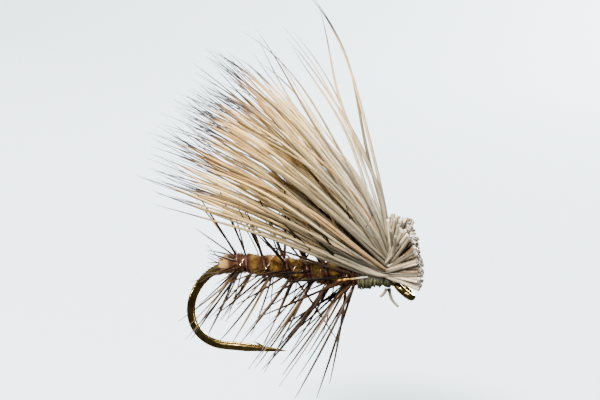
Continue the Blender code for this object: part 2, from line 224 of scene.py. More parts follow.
# ---------------------------------------------------------------- materials


class Look:
    """Builds one procedural material's nodes."""

    def __init__(self, name):
        self.material = bpy.data.materials.new(name)
        self.material.use_nodes = True
        self.tree = self.material.node_tree
        self.shader = self.tree.nodes["Principled BSDF"]

    def new(self, kind, **settings):
        made = self.tree.nodes.new(kind)
        for key, value in settings.items():
            setattr(made, key, value)
        return made

    def link(self, source, target):
        self.tree.links.new(source, target)

    def constants(self, **values):
        for key, value in values.items():
            self.shader.inputs[key.replace("_", " ")].default_value = value

    def attribute(self, name):
        return self.new("ShaderNodeAttribute", attribute_name=name).outputs["Fac"]

    def noise(self, size_mm, detail=3.0, stretch=(1, 1, 1)):
        where = self.new("ShaderNodeTexCoord").outputs["Object"]
        mapping = self.new("ShaderNodeMapping")
        mapping.inputs["Scale"].default_value = [1 / (size_mm * MM * s) for s in stretch]
        self.link(where, mapping.inputs["Vector"])
        texture = self.new("ShaderNodeTexNoise")
        texture.inputs["Scale"].default_value = 1.0
        texture.inputs["Detail"].default_value = detail
        self.link(mapping.outputs["Vector"], texture.inputs["Vector"])
        return texture.outputs["Fac"]

    def spread(self, factor, low, high, to_low=0.0, to_high=1.0):
        made = self.new("ShaderNodeMapRange")
        for key, value in (("From Min", low), ("From Max", high), ("To Min", to_low), ("To Max", to_high)):
            made.inputs[key].default_value = value
        self.link(factor, made.inputs["Value"])
        return made.outputs["Result"]

    def mottle(self, size_mm, low, high, detail=3.0, stretch=(1, 1, 1)):
        """A value that wanders between low and high, over patches of about that size."""
        return self.spread(self.noise(size_mm, detail, stretch), 0.3, 0.7, low, high)

    def ramp(self, factor, stops):
        made = self.new("ShaderNodeValToRGB")
        elements = made.color_ramp.elements
        while len(elements) < len(stops):
            elements.new(0.5)
        for element, (place, colour) in zip(elements, stops):
            element.position = place
            element.color = (*colour, 1.0)
        self.link(factor, made.inputs["Fac"])
        return made.outputs["Color"]

    def math(self, operation, a, b):
        made = self.new("ShaderNodeMath", operation=operation)
        for socket, value in zip(made.inputs, (a, b)):
            self.fill(socket, value)
        return made.outputs[0]

    def blend(self, factor, a, b, how="MIX"):
        made = self.new("ShaderNodeMix", data_type="RGBA", blend_type=how)
        for socket, value in ((made.inputs[0], factor), (made.inputs[6], a), (made.inputs[7], b)):
            self.fill(socket, value)
        return made.outputs[2]

    def fill(self, socket, value):
        """Gives a socket a number, a colour or a link."""
        if isinstance(value, (int, float)):
            socket.default_value = value
        elif isinstance(value, tuple):
            socket.default_value = (*value, 1.0)
        else:
            self.link(value, socket)

    def bump(self, height, depth_mm, strength=1.0):
        made = self.new("ShaderNodeBump")
        made.inputs["Strength"].default_value = strength
        made.inputs["Distance"].default_value = depth_mm * MM
        self.link(height, made.inputs["Height"])
        self.link(made.outputs["Normal"], self.shader.inputs["Normal"])

    def colour(self, socket):
        self.link(socket, self.shader.inputs["Base Color"])

    def shaded(self, colour, shade):
        """Makes the base colour from a colour and the grey shade that it is multiplied by."""
        grey = self.new("ShaderNodeCombineColor")
        for socket in grey.inputs:
            self.link(shade, socket)
        self.colour(self.blend(1.0, colour, grey.outputs["Color"], "MULTIPLY"))

    def roughness(self, socket):
        self.link(socket, self.shader.inputs["Roughness"])


def bronze_material():
    look = Look("bronzed_hook")
    look.constants(Metallic=1.0, Coat_Weight=0.25, Coat_Roughness=0.05)
    patches = look.noise(0.5, 4)
    look.colour(look.ramp(patches, ((0.3, (0.38, 0.25, 0.055)), (0.7, (0.68, 0.48, 0.15)))))
    grain = look.noise(0.03, 4, (6, 1, 6))
    look.roughness(look.spread(grain, 0.3, 0.7, 0.10, 0.20))
    look.bump(grain, 0.0012, 0.5)
    return look.material


def wire_material():
    look = Look("copper_rib_wire")
    look.constants(Metallic=1.0)
    tarnish = look.noise(0.2, 3)
    look.colour(look.ramp(tarnish, ((0.35, (0.72, 0.40, 0.26)), (0.7, (0.93, 0.70, 0.56)))))
    look.roughness(look.spread(tarnish, 0.3, 0.7, 0.14, 0.28))
    look.bump(look.noise(0.02, 3), 0.001, 0.4)
    return look.material


def hair_material():
    """Grey-brown hair that turns golden and then black towards its tip, a few of them reddish all along.

    along runs from -1 at the trimmed butt, through 0 under the thread, to 1 at the tip. Below -1 is
    the pale pith of the cut end.
    """
    # The dark stop at -0.01 is painted shade, in the notch where the thread pinches the hair between wing and
    # butts
    natural_with_waist_shade = (
        (-1.06, (0.86, 0.78, 0.60)), (-1.03, (0.56, 0.46, 0.30)), (-0.5, (0.52, 0.425, 0.28)),
        (-0.15, (0.46, 0.375, 0.245)), (-0.01, (0.07, 0.052, 0.032)), (0.04, (0.34, 0.265, 0.165)),
        (0.15, (0.40, 0.33, 0.205)), (0.40, (0.56, 0.42, 0.21)), (0.62, (0.84, 0.57, 0.205)),
        (0.80, (0.80, 0.47, 0.14)), (0.85, (0.17, 0.088, 0.035)), (0.89, (0.016, 0.015, 0.015)),
        (1.0, (0.008, 0.009, 0.010)),
    )
    reddish = (
        (-1.06, (0.80, 0.66, 0.44)), (-1.03, (0.26, 0.125, 0.04)), (0.0, (0.30, 0.15, 0.05)),
        (0.35, (0.50, 0.27, 0.085)), (0.62, (0.70, 0.40, 0.12)), (0.83, (0.38, 0.17, 0.04)),
        (0.90, (0.035, 0.02, 0.013)), (1.0, (0.014, 0.010, 0.009)),
    )
    # How light a hair of each tone is: the dip is at DARK_TONE
    levels = ((0.0, 1.42), (0.30, 1.02), (0.60, 0.53), (0.66, 0.26), (0.76, 0.26), (0.79, 0.88))

    def placed(stops):
        return [((value - PITH) / (1 - PITH), colour) for value, colour in stops]

    look = Look("natural_elk_hair")
    look.constants(Specular_IOR_Level=0.55, Sheen_Weight=0.12, Sheen_Roughness=0.4)
    along, tone = look.attribute("along"), look.attribute("tone")
    shifted = look.math("ADD", along, look.spread(tone, 0.0, 1.0, -0.035, 0.035))
    place = look.spread(shifted, PITH, 1.0)
    base = look.ramp(place, placed(natural_with_waist_shade))
    warm = look.ramp(place, placed(reddish))
    mixed = look.blend(look.spread(tone, 0.86, 0.98), base, warm)
    streaks = look.spread(look.noise(0.12, 4, (5, 1, 5)), 0.25, 0.75, 0.74, 1.18)
    # Painted shade: each hair is darkened where rim is low, on the faces that turn up and down within the
    # wing, so dark gaps show between neighbouring hairs
    painted_edge_light_and_shade = look.spread(look.attribute("rim"), 0.08, 0.84, 0.14, 1.06)
    shades = look.ramp(tone, [(value, (level, level, level)) for value, level in levels])
    look.shaded(mixed, look.math("MULTIPLY", look.math("MULTIPLY", streaks, painted_edge_light_and_shade), shades))
    look.roughness(look.mottle(0.08, 0.32, 0.52))
    look.bump(look.noise(0.035, 4, (4, 1, 4)), 0.006, 0.5)
    return look.material


def hackle_material():
    """Dark brown barbs, paler along both edges as painted light shining through them, with a few black and a
    few tan ones.
    """
    middle = ((0.0, (0.042, 0.014, 0.005)), (0.4, (0.020, 0.009, 0.004)), (1.0, (0.010, 0.006, 0.005)))
    # Painted light: the paler colours of each barb's thin edges, where light shines through them
    painted_edge_light_and_shade = ((0.0, (0.080, 0.032, 0.010)), (0.5, (0.092, 0.049, 0.019)), (1.0, (0.034, 0.019, 0.010)))
    look = Look("brown_rooster_hackle")
    look.constants(Specular_IOR_Level=0.28)
    along, tone, rim = look.attribute("along"), look.attribute("tone"), look.attribute("rim")
    core = look.ramp(along, middle)
    painted_edge_glow = look.ramp(along, painted_edge_light_and_shade)
    brown = look.blend(look.spread(rim, 0.45, 1.0, 0.0, 0.75), core, painted_edge_glow)
    black = look.blend(look.spread(tone, 0.30, 0.22), brown, (0.008, 0.006, 0.006))
    tan = look.blend(look.spread(tone, 0.78, 0.90), black, (0.21, 0.125, 0.052))
    look.shaded(tan, look.mottle(0.25, 0.75, 1.25))
    look.roughness(look.mottle(0.1, 0.28, 0.5, 2))
    look.bump(look.noise(0.025, 3), 0.004, 0.4)
    return look.material


def quill_material():
    """The hackle's stem: dark red-brown where it is wound, orange and then white at its bare butt."""
    stem = (
        (0.0, (0.80, 0.76, 0.66)), (0.010, (0.78, 0.70, 0.55)), (0.020, (0.85, 0.45, 0.07)),
        (0.035, (0.60, 0.26, 0.04)), (0.06, (0.16, 0.045, 0.015)), (1.0, (0.11, 0.032, 0.012)),
    )
    look = Look("hackle_quill")
    look.constants(Specular_IOR_Level=0.6)
    look.shaded(look.ramp(look.attribute("along"), stem), look.mottle(0.15, 0.7, 1.3))
    look.roughness(look.mottle(0.1, 0.3, 0.5, 2))
    look.bump(look.noise(0.02, 3), 0.003, 0.5)
    return look.material


def dubbing_material(name, light=1.0):
    """Amber fur: gold and rust patches, olive at the front, pale at the tail and dark along the quill."""
    fur = (
        (0.30, (0.050, 0.020, 0.003)), (0.45, (0.13, 0.060, 0.006)),
        (0.58, (0.25, 0.132, 0.015)), (0.72, (0.38, 0.23, 0.042)),
    )
    look = Look(name)
    look.constants(Roughness=0.85, Specular_IOR_Level=0.25, Sheen_Weight=0.12, Sheen_Roughness=0.5)
    along, tone, band = look.attribute("along"), look.attribute("tone"), look.attribute("band")
    amber = look.ramp(look.noise(0.45, 4), fur)
    olive = look.blend(look.spread(along, 0.30, 0.0, 0.0, 0.6), amber, (0.18, 0.125, 0.025))
    tail = look.blend(look.spread(along, 0.84, 0.95, 0.0, 0.6), olive, (0.50, 0.31, 0.11))
    banded = look.blend(look.spread(band, 0.32, 0.85, 0.0, 0.95), tail, (0.045, 0.011, 0.003))
    strands = look.mottle(0.05, 0.62 * light, 1.25 * light, 4, (0.6, 3, 3))
    look.shaded(banded, look.math("MULTIPLY", strands, look.spread(tone, 0.0, 1.0, 0.65, 1.35)))
    look.bump(look.noise(0.04, 5, (0.6, 3, 3)), 0.03, 0.8)
    return look.material


def thread_material():
    olive = ((0.0, (0.020, 0.021, 0.009)), (0.5, (0.066, 0.066, 0.028)), (1.0, (0.19, 0.18, 0.085)))
    look = Look("olive_tying_thread")
    look.constants(Specular_IOR_Level=0.55, Coat_Weight=0.25, Coat_Roughness=0.25)
    look.shaded(look.ramp(look.attribute("tone"), olive), look.mottle(0.06, 0.7, 1.35, 4))
    look.roughness(look.mottle(0.05, 0.32, 0.55))
    look.bump(look.noise(0.014, 3), 0.004, 0.6)
    return look.material


def lacquer_material():
    look = Look("head_lacquer")
    look.constants(IOR=1.48, Transmission_Weight=0.65, Coat_Weight=0.6, Coat_Roughness=0.03)
    drips = look.noise(0.2, 2)
    look.colour(look.ramp(drips, ((0.3, (0.10, 0.095, 0.06)), (0.7, (0.24, 0.22, 0.14)))))
    look.roughness(look.spread(drips, 0.3, 0.7, 0.04, 0.10))
    look.bump(drips, 0.01, 0.5)
    return look.material


# ---------------------------------------------------------------- hook


def bend_point(turn):
    """On the bend's centreline, turned this far round from the shank's rear end."""
    turn = np.asarray(turn, float)
    rise = BEND_R * np.cos(turn)
    x = BEND_X - BEND_R * np.sin(turn) + BEND_RAKE * rise
    return np.stack((x, 0 * turn, SHANK_Z - BEND_R + rise), axis=-1)


def shank_point(distance):
    """On the hook's centreline, this far back from the neck, along the shank and then round the bend."""
    distance = np.asarray(distance, float)
    straight = np.stack((NECK_X - distance, 0 * distance, SHANK_Z + 0 * distance), axis=-1)
    bent = bend_point((distance - SHANK_LENGTH) / BEND_R)
    return np.where((distance <= SHANK_LENGTH)[..., None], straight, bent)


def shank_up(distance):
    """Square to the hook's line there and away from its gap, which is up along the shank."""
    tangent = unit(shank_point(np.asarray(distance) + 0.01) - shank_point(distance))
    return np.cross(tangent, ACROSS) * -1


def around_shank(distance, radius, angle):
    """The point at that angle round the shank: 0 is the far side, 90 degrees the top, 180 the near side."""
    distance, radius, angle = np.broadcast_arrays(distance, radius, angle)
    offset = ACROSS * np.cos(angle)[..., None] + shank_up(distance) * np.sin(angle)[..., None]
    return shank_point(distance) + offset * radius[..., None]


def eye_point(turn):
    """On the centreline of the eye's loop, turned this far round from its front."""
    forward = np.array((math.cos(EYE_TILT), 0, -math.sin(EYE_TILT)))
    turn = np.asarray(turn, float)[..., None]
    return (forward * np.cos(turn) + ACROSS * np.sin(turn)) * EYE_R


def neck_points(share):
    """The wire from the shank into the eye's loop, at shares of the way from 0 to 1."""
    pull = 0.9
    t = np.asarray(share, float)[..., None]
    start, end = np.array((NECK_X, 0, SHANK_Z)), eye_point(EYE_LOOP_START)
    leave = ALONG * pull
    arrive = unit(eye_point(EYE_LOOP_START - 0.01) - end) * pull
    return (start * (2 * t**3 - 3 * t**2 + 1) + leave * (t**3 - 2 * t**2 + t)
            + end * (3 * t**2 - 2 * t**3) + arrive * (t**3 - t**2))


def spear_point(behind):
    """On the centreline of the spear, this far behind the hook's point."""
    start = bend_point(BEND_END)
    rise = BEND_END - math.pi
    length = (POINT_X - start[0]) / math.cos(rise)
    forward = np.array((math.cos(rise), 0, math.sin(rise)))
    return start + forward * (length - np.asarray(behind, float)[..., None])


def carried_sides(points):
    """The tangent and a sideways direction at each point, carried along from ACROSS without twist."""
    tangent = unit(np.gradient(points, axis=0))
    sides, side = [], ACROSS
    for direction in tangent:
        side = unit(side - direction * side.dot(direction))
        sides.append(side)
    return tangent, np.array(sides)


def hook_barb(first):
    """The sliver raised from the top of the spear. first is its first point's number."""
    barb = Strands(first)
    root = spear_point(HOOK_BARB_ROOT)
    tip = spear_point(HOOK_BARB_TIP) + UP * (WIRE_R + HOOK_BARB_STANDOFF)
    share = np.linspace(0, 1, 9)
    bow = UP * 0.05 * np.sin(math.pi * share)[:, None]
    path = root + (tip - root) * share[:, None] + bow
    barb.add(path, mix(HOOK_BARB_R, HOOK_BARB_TIP_R, share**0.7), ACROSS, 16)
    return barb


def make_hook(material):
    """One wire from the point, round the bend and along the shank into the eye's loop."""
    columns = 36
    behind = np.concatenate((np.linspace(0, 0.25, 6), np.linspace(0.4, 3.1, 26)))
    turn = np.linspace(BEND_END, 0, 110)
    shank = shank_point(np.linspace(SHANK_LENGTH - 0.1, 0, 40))
    neck = neck_points(np.linspace(0, 1, 22)[1:])
    loop = eye_point(np.linspace(EYE_LOOP_START, EYE_LOOP_END, 90)[1:])
    points = np.concatenate((spear_point(behind), bend_point(turn), shank, neck, loop))
    radii = np.concatenate((
        mix(POINT_R, WIRE_R, np.minimum(1, behind / POINT_TAPER) ** 0.8),
        np.full(len(turn) + len(shank), WIRE_R),
        np.linspace(WIRE_R, EYE_WIRE_R, len(neck)),
        np.full(len(loop), EYE_WIRE_R),
    ))
    forged = np.zeros(len(points))
    bend = slice(len(behind), len(behind) + len(turn))
    forged[bend] = smooth((BEND_END - turn) / 0.35) * smooth((turn - 0.7) / 0.5)
    half = mix(radii, np.minimum(radii, FORGED_HALF), forged)[:, None]
    tangent, side = carried_sides(points)
    over = np.cross(tangent, side)
    angle = np.linspace(0, math.tau, columns, endpoint=False)
    outward = np.clip(radii[:, None] * np.cos(angle), -half, half)[..., None]
    upward = (radii[:, None] * np.sin(angle))[..., None]
    rings = points[:, None] + side[:, None] * outward + over[:, None] * upward
    barb = hook_barb(len(points) * columns)
    vertices = np.concatenate((rings.reshape(-1, 3), *barb.points))
    wall = grid_faces(len(points), columns) + barb.faces
    ends = end_faces(len(points), columns) + barb.flat_faces
    make_piece("hook_wire", vertices, wall, ends, material, ("hook",), "hook_bronze")


# ---------------------------------------------------------------- body


def quill_distance(turn):
    return np.interp(turn, range(len(QUILL_TURNS)), QUILL_TURNS)


def quill_angle(turn):
    return QUILL_START - math.tau * np.asarray(turn)


def groove(distance, angle, width=GROOVE_WIDTH):
    """How near the quill's line is there, from 0 to 1."""
    near = np.zeros(np.broadcast(distance, angle).shape)
    for turn in range(-1, len(QUILL_TURNS) + 1):
        nearest = turn + (QUILL_START - angle) / math.tau
        off = distance - quill_distance(np.clip(nearest, 0, len(QUILL_TURNS) - 1))
        near = np.maximum(near, np.exp(-((off / width) ** 2)))
    return near


def body_radius(distance):
    """The fur's radius before the quill's grooves: it rounds off at both ends."""
    share = (distance - BODY_FRONT) / (BODY_REAR - BODY_FRONT)
    ends = np.clip(np.minimum(np.minimum((share + 0.008) / 0.045, (1.008 - share) / 0.075), 1), 0, 1)
    swell = 1 + 0.05 * np.sin(distance * 2.3 + 0.6) - 0.05 * share
    return mix(WIRE_R + 0.03, BODY_R * swell, np.sqrt(ends))


def fur_surface(distance, angle):
    """The radius of the dubbed body there, lumpy and grooved."""
    distance, angle = np.broadcast_arrays(distance, angle)
    base = body_radius(distance) * (1 - GROOVE_DEPTH * groove(distance, angle))
    lumps = np.empty(base.shape)
    for index, point in zip(np.ndindex(base.shape), around_shank(distance, base, angle).reshape(-1, 3)):
        where = Vector(point)
        lumps[index] = sum(height * noise.noise(where * closeness) for height, closeness in FUR_LUMPS)
    return base + lumps * np.clip((base - WIRE_R) / 0.15, 0, 1)


def make_abdomen(material):
    rows, columns = 300, 72
    distance = np.linspace(BODY_FRONT - 0.02, BODY_REAR + 0.02, rows)[:, None]
    angle = np.linspace(0, math.tau, columns, endpoint=False)[None, :]
    skin = around_shank(distance, fur_surface(distance, angle), angle).reshape(-1, 3)
    faces = [face[::-1] for face in grid_faces(rows, columns)]
    ends = [end[::-1] for end in end_faces(rows, columns)]
    share = np.repeat(np.linspace(0, 1, rows), columns)
    band = groove(distance, angle, BAND_WIDTH).ravel()
    make_piece("abdomen_fur", skin, faces, ends, material, ("dubbed_abdomen",), "dubbing",
               along=share, tone=np.full(len(share), 0.5), band=band)


def make_fuzz(material, rng):
    """Fibres of the dubbing: most lie round the body as they were spun, and some stand off it."""
    fuzz, bands, sides = Strands(), [], 5
    t = np.linspace(0, 1, 9)
    for number in range(WOUND_FIBRES + LOOSE_FIBRES):
        loose = number >= WOUND_FIBRES
        start, angle = rng.uniform(BODY_FRONT, BODY_REAR - 0.15), rng.uniform(0, math.tau)
        turned = angle - rng.uniform(0.7, 1.9) * (0.45 if loose else 1) * t
        distance = start + rng.uniform(0.05, 0.32) * t * rng.choice((-1, 1, 1))
        distance = np.clip(distance, BODY_FRONT, BODY_REAR - 0.05)
        lift = rng.uniform(0.1, 0.42) * t**1.5 if loose else 0.012 + 0.03 * np.sin(math.pi * t)
        base = body_radius(distance) * (1 - 0.15 * groove(distance, turned)) + lift
        path = around_shank(distance, base, turned)
        if loose:
            path = path + rng.normal(0, 0.05, 3) * (t**2)[:, None]
        thick = rng.uniform(0.006, 0.011) if loose else rng.uniform(0.012, 0.026)
        radii = thick * (0.3 + 0.7 * np.sin(math.pi * np.clip(t, 0.03, 0.97)))
        share = np.full(len(t), (start - BODY_FRONT) / (BODY_REAR - BODY_FRONT))
        fuzz.add(path, radii, ALONG, sides, rng.uniform(0.2, 1.0), share)
        bands.append(np.repeat(groove(distance, turned, BAND_WIDTH), sides))
    fuzz.piece("abdomen_fuzz", material, (), "dubbing", band=np.concatenate(bands))


def make_rib(material):
    """Wire wound against the quill, which it rides over where they cross."""
    t = np.linspace(0, 1, 260)
    distance = mix(BODY_FRONT + 0.35, BODY_REAR - 0.75, t)
    angle = math.radians(60) + math.tau * RIB_TURNS * t
    height = body_radius(distance) + 0.012 + 0.03 * groove(distance, angle)
    rib = Strands()
    rib.add(around_shank(distance, height, angle), np.full(len(t), RIB_R), ALONG, 12)
    rib.piece("rib_wire_coil", material, ("rib_wire",), "rib_wire")


# ---------------------------------------------------------------- hackle


def make_quill(material):
    """The feather's stem, wound round the body, and its bare butt laid along the near side."""
    turns = np.linspace(0, len(QUILL_TURNS) - 1, 520)
    distance, angle = quill_distance(turns), quill_angle(turns)
    share = turns / turns[-1]
    radii = mix(QUILL_R_FRONT, QUILL_R_REAR, share)
    wound = around_shank(distance, body_radius(distance) * 0.90 + 0.02 + radii * 0.4, angle)
    butt = np.linspace(np.array((-2.02, -0.62, 0.60)), np.array((-3.55, -0.84, 0.24)), 14)
    quill = Strands()
    quill.add(wound, radii, ALONG, 10, 0.5, mix(0.06, 1, share), 0.7)
    quill.add(butt, np.linspace(0.050, 0.062, len(butt)), ACROSS, 10, 0.5, np.linspace(0, 0.035, len(butt)))
    quill.piece("hackle_quill", material, (), "hackle")


def barb_missing(outward, share, rng):
    """Leaves some barbs out: under the wing, at the body's sides and at its rear the photo shows fewer."""
    if outward[2] > 0.35 and rng.uniform() < MISSING_ABOVE:
        return True
    if abs(outward[1]) > 0.84 and rng.uniform() < MISSING_BESIDE:
        return True
    return share > 0.75 and rng.uniform() < MISSING_AT_REAR


def add_barb(strands, turn, t, rng):
    """One barb of the wound feather, which stands out from the quill at that turn and leans back."""
    distance, angle = float(quill_distance(turn)), float(quill_angle(turn)) + rng.normal(0, 0.16)
    share = (distance - QUILL_TURNS[0]) / (QUILL_TURNS[-1] - QUILL_TURNS[0])
    up = shank_up(distance)
    back = np.cross(ACROSS, up) * -1
    outward = ACROSS * math.cos(angle) + up * math.sin(angle)
    lean = math.radians(rng.normal(mix(21, 27, share), 9) - (45 if rng.uniform() < SWEPT_FORWARD else 0))
    direction = unit(outward * math.cos(lean) + back * math.sin(lean) + ACROSS * rng.normal(0, 0.06))
    length = mix(BARB_FRONT, BARB_REAR, smooth(share)) * rng.uniform(0.66, 1.0)
    if outward[2] > 0.35:
        length *= mix(0.68, 1.0, share)
    if barb_missing(outward, share, rng):
        return
    root = around_shank(distance, body_radius(distance) * 0.88, angle)
    sway = unit(np.cross(direction, rng.normal(0, 1, 3)))
    bow = back * 0.05 * length + sway * rng.normal(0, 0.035) * length
    path = root + direction * length * t[:, None] + bow * (t**2)[:, None]
    radii = rng.uniform(0.050, 0.074) * mix(1.12, 0.94, share) * (1 - 0.76 * t**3)
    tone = rng.uniform(0, 1)
    tone = mix(smooth(tone), tone, share)
    reference = up if abs(direction.dot(up)) < 0.9 else back
    strands.add(path, radii, reference, 6, tone, t, BARB_FLATNESS)


def add_tail_barb(strands, t, rng):
    """One of the short barbs that point back past the body's end."""
    angle = rng.uniform(0, math.tau)
    root = around_shank(BODY_REAR - rng.uniform(0.0, 0.35), 0.42, angle)
    back = np.array((-1.0, 0, rng.uniform(-0.1, 0.5)))
    direction = unit(back + ACROSS * math.cos(angle) * 0.6 + UP * math.sin(angle) * 0.5)
    path = root + direction * rng.uniform(0.6, 1.5) * t[:, None]
    tone = rng.uniform(0, 0.6)
    strands.add(path, 0.05 * (1 - 0.6 * t), ACROSS + UP * 0.3, 6, tone, t, BARB_FLATNESS)


def make_barbs(material, rng):
    """The feather's barbs, dealt in turn to two pieces."""
    pieces = [Strands(), Strands()]
    t = np.linspace(0, 1, 16)
    for number in range((len(QUILL_TURNS) - 1) * BARBS_PER_TURN):
        turn = (number + rng.uniform(-0.4, 0.4)) / BARBS_PER_TURN
        add_barb(pieces[number % 2], turn, t, rng)
    for _ in range(TAIL_BARBS):
        add_tail_barb(pieces[0], t, rng)
    pieces[0].piece("hackle_barbs_a", material, ("hackle_feather",), "hackle")
    pieces[1].piece("hackle_barbs_b", material, (), "hackle")


# ---------------------------------------------------------------- hair


# What the hairs of one clump share: a place in their lock, a wave, and a lean and bend of their own
Clump = namedtuple("Clump", "u v phase rise tilt bend")


def wing_path(start, flare, elevation, tilt, length, bend, curl, wave, phase):
    """A hair from the waist back to its tip, as the sum of short steps whose direction changes along it."""
    steps = 40
    t = (np.arange(steps) + 0.5) / steps
    lift = smooth(t * length / flare)
    rise = elevation + bend * (0.5 - t) + curl * np.clip(t - 0.55, 0, 1) ** 2 * 4
    rise = rise + wave * np.sin(math.tau * (1.3 * t + phase))
    swing = tilt * (1.12 - 0.2 * t) + wave * 1.3 * np.sin(math.tau * (1.1 * t + 2 * phase))
    directions = fan(np.maximum(rise, LOWEST_RISE) * lift, swing * lift, -1)
    return np.concatenate((start[None], start + np.cumsum(directions * length / steps, axis=0)))


def butt_path(start, elevation, tilt, jitter):
    """The same hair forward from the waist, up to where the scissors cut it."""
    steps, step, fewest = 60, 0.055, 8
    t = (np.arange(steps) + 0.5) * step
    lift = smooth(t / 0.20)
    directions = fan(elevation * lift, tilt * lift, 1)
    path = np.concatenate((start[None], start + np.cumsum(directions * step, axis=0)))
    cut = fan(np.array(TRIM_NORMAL), np.array(0.0), 1)
    off = math.acos(np.clip(fan(np.array(elevation), np.array(tilt), 1).dot(cut), -1, 1))
    reach = TRIM_DISTANCE - 0.12 * (off / math.radians(50)) ** 2 + jitter
    inside = (path - TIE) @ cut < reach
    inside &= np.linalg.norm(path - TIE, axis=1) < LONGEST_BUTT + jitter * 2
    count = len(path) if inside.all() else int(np.argmin(inside))
    return path[:max(fewest, count)]


def add_hair(lock, wing, butt, thickness, tone):
    """One hair in one tube: tip, wing, waist, butt, and the pale pith where it was cut."""
    tip_t = np.linspace(0, 1, len(wing))[::-1]
    swell = mix(0.58, 1.0, smooth(tip_t * 15)) * (1 - 0.12 * tip_t)
    thin = np.interp(tip_t, (0, 0.4, 0.62, 0.8, 0.92, 1.0), (1, 0.95, 0.80, 0.50, 0.26, 0.07))
    wing_r = WING_R * thickness * swell * thin
    butt_t = np.linspace(0, 1, len(butt))[1:]
    butt_r = BUTT_R * thickness * mix(0.50, 1.0, smooth(butt_t * 3.2))
    end, outward = butt[-1], unit(butt[-1] - butt[-2])
    cut_end = [end + outward * 0.012, end + outward * 0.006, end - outward * 0.004]
    path = np.concatenate((wing[::-1], butt[1:], cut_end))
    radii = np.concatenate((wing_r, butt_r, butt_r[-1] * np.array((0.93, 0.74, 0.30))))
    along = np.concatenate((tip_t, -butt_t, (-1.03, -1.06, PITH)))
    across = unit(np.cross(wing[-1] - wing[0], UP))
    lock.add(path, radii, across, 8, tone, along)


def lay_hair(lock, row, column, clump, stray, lock_rise, lock_tilt, rng):
    """One hair of a lock. A stray leaves its clump: it has a height of its own and scatters more."""
    share_up = rng.uniform(0, 1) if stray else clump.v + rng.normal(0, 0.05)
    u = (column + np.clip(clump.u + rng.normal(0, 0.15), 0, 1)) / LOCK_COLUMNS
    v = (row + np.clip(share_up, 0, 1)) / LOCK_ROWS
    across, height = (u * 2 - 1) * BUNDLE_HALF_ACROSS, (v * 2 - 1) * BUNDLE_HALF_UP
    start = TIE + np.array((rng.normal(0, 0.13), across, height))

    scatter = STRAY_SCATTER if stray else 1.0
    elevation = math.radians(np.interp(v, *WING_RISE)) + lock_rise
    elevation += (clump.rise + rng.normal(0, math.radians(1.5)) * scatter) * mix(0.6, 1.0, v)
    tilt = WING_TILT * (u * 2 - 1) + lock_tilt + clump.tilt
    tilt = np.clip(tilt + rng.normal(0, math.radians(2.5)) * scatter, -WIDEST_TILT, WIDEST_TILT)
    length = mix(WING_LENGTH_LOW, WING_LENGTH_HIGH, v) - rng.gamma(1.3, 0.7)
    bend = math.radians(mix(13, 30, v)) + clump.bend + rng.normal(0, math.radians(2))
    curl = rng.normal(math.radians(3), math.radians(mix(8, 16, v)))
    wave = math.radians(rng.uniform(1.0, mix(5.0, 9.0, v)))
    flare = mix(1.9, 0.24, min(1, v * 2.6))
    phase = clump.phase + rng.normal(0, 0.12)
    wing = wing_path(start, flare, elevation, tilt, length, bend, curl, wave, phase)

    rise = math.radians(np.clip(mix(BUTT_RISE_LOW, BUTT_RISE_HIGH, v) + rng.normal(0, 9), -8, 104))
    lean = BUTT_TILT * (u * 2 - 1) + rng.normal(0, math.radians(7))
    butt = butt_path(start, rise, lean, rng.normal(0, 0.04))

    # Some hairs are really dark, but their share grows towards the bottom of the bundle as painted shade
    # under the wing
    dark_and_shaded_share = mix(0.28, 0.05, v)
    tone = DARK_TONE if rng.uniform() < dark_and_shaded_share else rng.uniform(0, 1)
    add_hair(lock, wing, butt, rng.uniform(0.80, 1.20), tone)


def make_hair(material, rng):
    """Each lock of the CAD becomes a lock of separate hairs, in clumps that part from one another."""
    for number in range(LOCK_COLUMNS * LOCK_ROWS):
        row, column = divmod(number, LOCK_COLUMNS)
        lock = Strands()
        lock_rise, lock_tilt = rng.normal(0, math.radians(1.2)), rng.normal(0, math.radians(1.6))
        for hair in range(HAIRS_PER_LOCK):
            if hair % HAIRS_PER_CLUMP == 0:
                clump = Clump(*rng.uniform(0, 1, 3), *rng.normal(0, np.radians((2.6, 5.5, 4.0))))
            stray = hair % HAIRS_PER_CLUMP == HAIRS_PER_CLUMP - 1
            lay_hair(lock, row, column, clump, stray, lock_rise, lock_tilt, rng)
        name = f"lock_{number + 1:02d}"
        lock.piece(f"hair_{name}", material, (f"elk_hair_{name}",), "elk_hair")


def make_trapped_hairs(material):
    """The two cut ends that stick out under the thread, one to the rear and one to the front."""
    share = np.linspace(0, 1, 14)
    ends = (
        ((-0.95, -0.14, 0.02), (-1.26, -0.26, -0.46), 0.05),
        ((-0.84, 0.08, 0.02), (-0.22, 0.0, -0.92), -0.14),
    )
    for number, (start, end, bow) in enumerate(ends, start=1):
        start, end = np.array(start), np.array(end)
        sideways = unit(np.cross(end - start, ACROSS)) * bow
        path = start + (end - start) * share[:, None] + sideways * np.sin(math.pi * share)[:, None]
        hair = Strands()
        hair.add(path, mix(0.10, 0.072, share), ACROSS, 8, 0.60, mix(0.0, -0.2, share))
        hair.piece(f"trapped_hair_end_{number}", material, (f"trapped_hair_{number}",), "elk_hair")


# ---------------------------------------------------------------- thread


